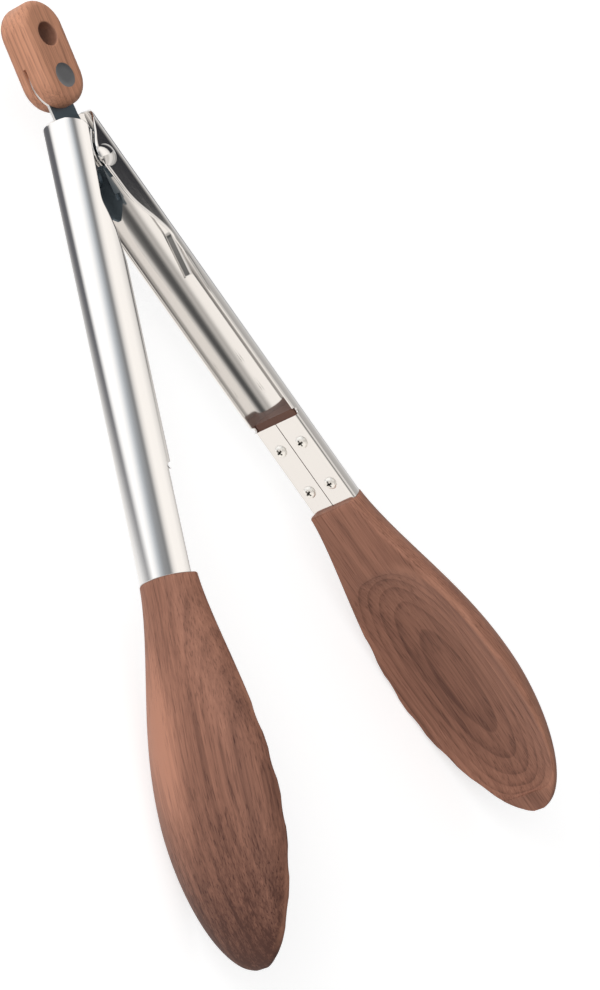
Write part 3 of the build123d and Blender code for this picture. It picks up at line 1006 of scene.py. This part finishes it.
def walnut_group():
    """Node group: walnut from a place in the wood. Growth rings are shells about a far axis along the grain,
    each darkening slowly and ending sharply. Streaks and short dark pores run along the grain. Broad noise,
    an even drift along the piece and one soft oval spot shift the tone; the spot, lighter on the left tip, is
    partly a painted sheen there."""
    inputs = {"Place": "Vector", "Light": "Color", "Dark": "Color"}
    inputs.update(dict.fromkeys(WALNUT_CUTS["pull"], "Float"))
    outputs = {"Color": "Color", "Gloss": "Float", "Height": "Float"}
    group, given, result = new_group("Walnut grain", inputs, outputs)
    if not given:
        return group
    value = given.outputs

    def noise(scales, detail, gain, rough=0.5):
        """Noise about zero."""
        plain = stretched_noise(group, value["Place"], scales, detail, rough)
        return product(group, maths(group, "SUBTRACT", plain, 0.5), gain)

    def square(place, middle, reach):
        """Square of a place's distance from a middle, in shares of a reach."""
        off = maths(group, "DIVIDE", maths(group, "SUBTRACT", place, value[middle]), value[reach])
        return power(group, off, 2.0)

    along, out, across = axes(group, value["Place"])
    far = distance(group, maths(group, "SUBTRACT", out, value["Heart out"]),
                   maths(group, "SUBTRACT", across, value["Heart across"]))
    wander = product(group, noise(*WANDER_NOISE), value["Wander"])
    year = maths(group, "FRACT", maths(group, "DIVIDE", total(group, far, wander), value["Ring"]))
    late = maths(group, "SUBTRACT", *(maths(group, "POWER", year, exponent) for exponent in LATE_WOOD))
    rings = product(group, maths(group, "SUBTRACT", late, LATE_MEAN), value["Ring depth"])
    pores = soft_step(group, noise(*PORE_NOISE), *PORE_LEVELS)
    fine = noise(*FINE_NOISE)
    drift = product(group, along, value["Drift"])
    oval = total(group, square(along, "Spot along", "Spot length"),
                 square(across, "Spot across", "Spot width"))
    # soft oval spot of tone; on the left tip it is lighter, partly a painted sheen
    spot = product(group, maths(group, "EXPONENT", product(group, oval, -1.0)), value["Spot"])
    tone = total(group, value["Tone"], drift, spot, rings, noise(*BROAD_NOISE), noise(*STREAK_NOISE), fine)
    dark = total(group, tone, product(group, pores, PORE_DARK))
    height = maths(group, "SUBTRACT", product(group, fine, FINE_DEPTH), product(group, pores, PORE_DEPTH))
    link(group, (blend(group, dark, value["Light"], value["Dark"]), result.inputs["Color"]),
         (maths(group, "MULTIPLY_ADD", dark, *WALNUT_GLOSS), result.inputs["Gloss"]),
         (height, result.inputs["Height"]))
    return group


def shaded_place(tree, piece, place):
    """Mask of the wood that sees little light: the tips' sawn ends above the flaps, the pull's hole."""
    along, out, _ = axes(tree, place)
    if piece != "pull":
        return soft_step(tree, along, FERRULE_START + 0.8 * MM, FERRULE_START - 0.2 * MM)
    far = distance(tree, maths(tree, "SUBTRACT", along, HANG_PLACE), out)
    return product(tree, soft_step(tree, far, HANG_RADIUS + 0.45 * MM, HANG_RADIUS), HOLE_SHARE)


def bowl_edge(tree, place):
    """Mask of a painted highlight along the upper edge of a tip's bowl, where the squared share of its length
    and the fourth power of its share of the width add up to one, on the face only."""
    along, out, across = axes(tree, place)
    run = maths(tree, "DIVIDE", maths(tree, "SUBTRACT", along, BOWL_PLACE), BOWL_HALF_LENGTH)
    side = maths(tree, "DIVIDE", across, BOWL_HALF_WIDTH)
    level = total(tree, power(tree, run, 2.0), power(tree, side, 4.0))
    off = maths(tree, "ABSOLUTE", maths(tree, "SUBTRACT", level, 1.0))
    return product(tree, soft_step(tree, off, 0.2, 0.0), soft_step(tree, across, 2 * MM, 12 * MM),
                   soft_step(tree, out, 2 * MM, 0.5 * MM))


def walnut(piece):
    """Oiled walnut, cut from its own place in the log for each piece."""
    material, tree, shader = new_material(f"walnut_{piece}")
    if not tree:
        return material
    place = attribute_vector(tree)
    wood = add(tree, "ShaderNodeGroup", node_tree=walnut_group())
    # the pull's lighter colour is partly painted light for its dimly lit face
    light = PULL_LIGHT if piece == "pull" else colours().walnut_light
    put(wood, {"Light": (*light, 1), "Dark": (*colours().walnut_dark, 1), **WALNUT_CUTS[piece]})
    put(shader, {"Specular IOR Level": 0.25})
    colour = wood.outputs["Color"]
    if piece != "pull":
        # painted highlight along the upper edge of the bowl
        colour = blend(tree, product(tree, bowl_edge(tree, place), BOWL_HIGHLIGHT_SHARE), colour, BOWL_HIGHLIGHT)
    colour = blend(tree, shaded_place(tree, piece, place), colour, WALNUT_SHADE)
    link(tree, (place, wood.inputs["Place"]), (colour, shader.inputs["Base Color"]),
         (wood.outputs["Gloss"], shader.inputs["Roughness"]))
    add_bump(tree, shader, wood.outputs["Height"], WALNUT_BUMP)
    return material


# Studio

CAMERA_FROM_PIVOT = np.array([121.26, -915.5, 881.14]) * MM
CAMERA_RIGHT = (0.40573, 0.62332, 0.66847)
CAMERA_DOWN = (0.91399, -0.27779, -0.29572)
CAMERA_VIEW = (0.00136, 0.73096, -0.68241)
FOCAL_SHARE = 4000.0 / 990.0
SENSOR = 24.0
KEY_PLACE = (-0.9, -0.9, 0.7)
KEY_AIM = (0.0, 0.0, 0.02)
KEY_SIZE = 0.9
KEY_POWER = 4.0
FLOOR_RADIUS = 3.0
FLOOR_SIDES = 64
FLOOR_DROP = 0.2 * MM
FLOOR_GLOW = 0.6
FLOOR_SHADE = 0.8
# The soft light's level towards a direction: its middle, its slope towards one side and its least
SOFT_LIGHT = (-0.704, -0.708, -0.047)
SOFT_MIDDLE = 0.6
SOFT_SLOPE = 0.9
SOFT_LEAST = 0.1
# The studio seen in the steel, as (angle, brightness, warmth) by the angle round the tongs' long axis: 0 is
# overhead, 90 is the camera's side, 180 is below and -90 is behind. The two arms' mirror directions lie on
# opposite cones, so that each arm has its own set.
STUDIO_GAIN = 1.1
STUDIO_PEAK = 1.3
WARMTH = (0.05, 0.0, -0.055)
STUDIO_LEFT = (
    (-180, 1.0, 0.3), (-150, 0.95, 0.3), (-128, 0.79, 0.2), (-112, 0.77, 0.2), (-96, 0.6, 0.4),
    (-84, 0.49, 0.7), (-64, 0.43, 0.8), (-52, 0.36, 0.8), (-40, 0.7, 0.7), (-28, 0.88, 0.7),
    (-14, 1.04, 0.8), (10, 1.06, 0.8), (18, 0.95, 0.8), (26, 0.74, 0.6), (33, 0.38, 0.2), (38, 0.25, -0.2),
    (48, 0.38, -0.9), (56, 0.5, -1.1), (64, 0.68, -0.9), (72, 0.88, -0.5), (81, 1.09, 0), (92, 1.2, 0),
    (140, 1.2, 0), (180, 1.0, 0.3),
)
STUDIO_RIGHT = (
    (-180, 0.9, 0.6), (-128, 0.6, 0.4), (-104, 0.33, 0.4), (-92, 0.33, 0.5), (-76, 0.6, 0.6), (-64, 0.5, 0.9),
    (-54, 0.72, 0.7), (-30, 0.85, 0.8), (-10, 0.6, 1), (8, 0.68, 1), (15, 0.46, 0.9), (22, 0.18, 0.6),
    (30, 0.075, 0.3), (40, 0.085, 0.4), (47, 0.2, 0.9), (54, 0.45, 1), (60, 0.5, 1.1), (68, 0.42, 1.1),
    (76, 0.62, 1), (84, 0.86, 1), (92, 0.95, 1), (140, 0.97, 1), (180, 0.9, 0.9),
)
# How each arm's bands turn with the direction along it: where they lie straight, the angles between which
# the turn sets in, and degrees per unit
LEAN_LEFT = (-0.25, (36, 60), -255.0)
LEAN_RIGHT = (0.165, (15, 45), 300.0)
SETS_MEET = (-0.06, 0.0)
# A dark strip below the left arm and a dark card behind, with the directions between which each sets in
DARK_STRIP = (0.15, 0.151, 0.165)
STRIP_ALONG = (-0.475, -0.395)
STRIP_SLANT = (-0.199, 0.243)
STRIP_END = (0.07, -0.07)
STRIP_DOWN = (-0.2, -0.45)
DARK_CARD = (0.036, 0.037, 0.042)
CARD_FROM = (-98, -72)
CARD_TO = (-36, -44)
CARD_ALONG = (0.145, 0.132)


def ring_bands(tree, angle, stops):
    """Bands by an angle in degrees, as bright as the steel needs them to be."""
    where = maths(tree, "DIVIDE", total(tree, angle, 180.0), 360.0)
    colours_at = [((place + 180) / 360, [level / STUDIO_PEAK * (1 + warmth * k) for k in WARMTH])
                  for place, level, warmth in stops]
    bands = add(tree, "ShaderNodeVectorMath", operation="SCALE")
    put(bands, {"Scale": STUDIO_PEAK * STUDIO_GAIN})
    link(tree, (ramp(tree, where, colours_at), bands.inputs[0]))
    return bands.outputs[0]


def studio_bands(tree, direction):
    """What the steel mirrors by direction: a set of bands for each arm, which lean a little with the
    direction along it, a dark strip below the left arm and a dark card behind."""
    x, y, z = axes(tree, direction)
    turn = maths(tree, "DEGREES", maths(tree, "ARCTAN2", product(tree, y, -1.0), z))
    c, s = math.cos(sizes().half_opening), math.sin(sizes().half_opening)
    left, right = (total(tree, product(tree, x, c), product(tree, y, side * s)) for side in (-1, 1))

    def leaning(along, straight, onset, degrees):
        """The angle, turned further in proportion to the direction along an arm."""
        return total(tree, turn,
                     product(tree, total(tree, along, -straight), soft_step(tree, turn, *onset), degrees))

    bands = blend(tree, soft_step(tree, x, *SETS_MEET),
                  ring_bands(tree, leaning(left, *LEAN_LEFT), STUDIO_LEFT),
                  ring_bands(tree, leaning(right, *LEAN_RIGHT), STUDIO_RIGHT))
    slant, start = STRIP_SLANT
    beyond = total(tree, product(tree, y, slant), x, start)
    strip = product(tree, soft_step(tree, x, *STRIP_ALONG), soft_step(tree, beyond, *STRIP_END),
                    soft_step(tree, z, *STRIP_DOWN))
    card = product(tree, soft_step(tree, turn, *CARD_FROM), soft_step(tree, turn, *CARD_TO),
                   soft_step(tree, right, *CARD_ALONG))
    return blend(tree, card, blend(tree, strip, bands, DARK_STRIP), DARK_CARD)


def studio_world():
    """World: a soft light that grows evenly towards one side for diffuse surfaces, the studio's bands for
    reflections, and white for the camera."""
    world = bpy.data.worlds.new("studio")
    bpy.context.scene.world = world
    world.use_nodes = True
    tree = world.node_tree
    direction = add(tree, "ShaderNodeTexCoord").outputs["Generated"]
    toward = add(tree, "ShaderNodeVectorMath", operation="DOT_PRODUCT")
    put(toward, {1: SOFT_LIGHT})
    level = maths(tree, "MULTIPLY_ADD", toward.outputs["Value"], SOFT_SLOPE, SOFT_MIDDLE)
    level = maths(tree, "MAXIMUM", level, SOFT_LEAST)
    soft = add(tree, "ShaderNodeCombineXYZ")
    link(tree, (direction, toward.inputs[0]), *((level, socket) for socket in soft.inputs))
    ray = add(tree, "ShaderNodeLightPath")
    shown = blend(tree, ray.outputs["Is Glossy Ray"], soft.outputs[0], studio_bands(tree, direction))
    shown = blend(tree, ray.outputs["Is Camera Ray"], shown, (1.0, 1.0, 1.0))
    link(tree, (shown, tree.nodes["Background"].inputs["Color"]))


def floor_material():
    """Pale floor: to the camera an even glow and a part of its real shading, which keeps the shadow. Both
    together are white where no shadow falls."""
    material, tree, shader = new_material("studio_floor")
    if not tree:
        return material
    put(shader, {"Roughness": 0.9, "Specular IOR Level": 0.1, "Emission Color": (1, 1, 1, 1)})
    seen = add(tree, "ShaderNodeLightPath").outputs["Is Camera Ray"]
    whole = tuple(colours().floor)
    colour = blend(tree, seen, whole, tuple(FLOOR_SHADE * level for level in whole))
    link(tree, (colour, shader.inputs["Base Color"]),
         (product(tree, seen, FLOOR_GLOW), shader.inputs["Emission Strength"]))
    return material


def add_floor():
    """A round floor just below the tongs, not mirrored in the steel."""
    ring = raised(FLOOR_RADIUS * circle(round_angles(FLOOR_SIDES)), CAD_BOX[0][2] - FLOOR_DROP)
    mesh = bpy.data.meshes.new("floor")
    mesh.from_pydata(ring.tolist(), [], [list(range(FLOOR_SIDES))])
    mesh.materials.append(floor_material())
    floor = new_object("floor", mesh)
    floor.visible_glossy = False


def add_key_lamp():
    """One large soft lamp, not mirrored in the steel."""
    lamp = bpy.data.lights.new("key", "AREA")
    lamp.shape, lamp.size, lamp.energy = "DISK", KEY_SIZE, KEY_POWER
    key = new_object("key", lamp)
    aim = Vector(KEY_AIM) - Vector(KEY_PLACE)
    key.matrix_world = Matrix.LocRotScale(Vector(KEY_PLACE), aim.to_track_quat("-Z", "Y"), None)
    key.visible_glossy = False


def add_camera():
    """The photograph's view, as fitted to the tongs."""
    data = bpy.data.cameras.new("camera")
    data.sensor_fit, data.sensor_height, data.lens = "VERTICAL", SENSOR, FOCAL_SHARE * SENSOR
    data.clip_start, data.clip_end = 0.01, 50
    camera = new_object("camera", data)
    turn = np.eye(4)
    turn[:3, 0] = CAMERA_RIGHT
    turn[:3, 1] = -np.array(CAMERA_DOWN)
    turn[:3, 2] = -np.array(CAMERA_VIEW)
    turn[:3, 3] = PIVOT + CAMERA_FROM_PIVOT
    camera.matrix_world = Matrix(turn.tolist())
    bpy.context.scene.camera = camera


class TONGS_OT_stage(bpy.types.Operator):
    """Camera, studio light and floor"""

    bl_idname = "tongs.stage"
    bl_label = "Stage"

    def execute(self, context):
        context.scene.view_settings.view_transform = "Standard"
        add_camera()
        add_floor()
        add_key_lamp()
        studio_world()
        return {"FINISHED"}


class TONGS_PT_panel(bpy.types.Panel):
    """Lists the steps that dress the tongs"""

    bl_label = "Tongs"
    bl_idname = "TONGS_PT_panel"
    bl_space_type = "VIEW_3D"
    bl_region_type = "UI"
    bl_category = "Tongs"

    def draw(self, context):
        for group in (context.scene.tongs_sizes, context.scene.tongs_colours):
            box = self.layout.box()
            for name in group.__annotations__:
                box.prop(group, name)
        for step in STEPS:
            self.layout.operator(step.bl_idname)


STEPS = (TONGS_OT_arms, TONGS_OT_tips, TONGS_OT_screws, TONGS_OT_rivets, TONGS_OT_spring, TONGS_OT_pull,
         TONGS_OT_plates, TONGS_OT_stage)
CLASSES = (TongsSizes, TongsColours) + STEPS + (TONGS_PT_panel,)


def register():
    """Registers the classes and gives the scene its settings."""
    for cls in CLASSES:
        bpy.utils.register_class(cls)
    bpy.types.Scene.tongs_sizes = bpy.props.PointerProperty(type=TongsSizes)
    bpy.types.Scene.tongs_colours = bpy.props.PointerProperty(type=TongsColours)


def unregister():
    """Takes the settings and the classes away again."""
    del bpy.types.Scene.tongs_colours
    del bpy.types.Scene.tongs_sizes
    for cls in reversed(CLASSES):
        bpy.utils.unregister_class(cls)


def main():
    """Dresses the frame step by step."""
    register()
    for step in STEPS:
        group, name = step.bl_idname.split(".")
        getattr(getattr(bpy.ops, group), name)()


if __name__ == "__main__":
    main()
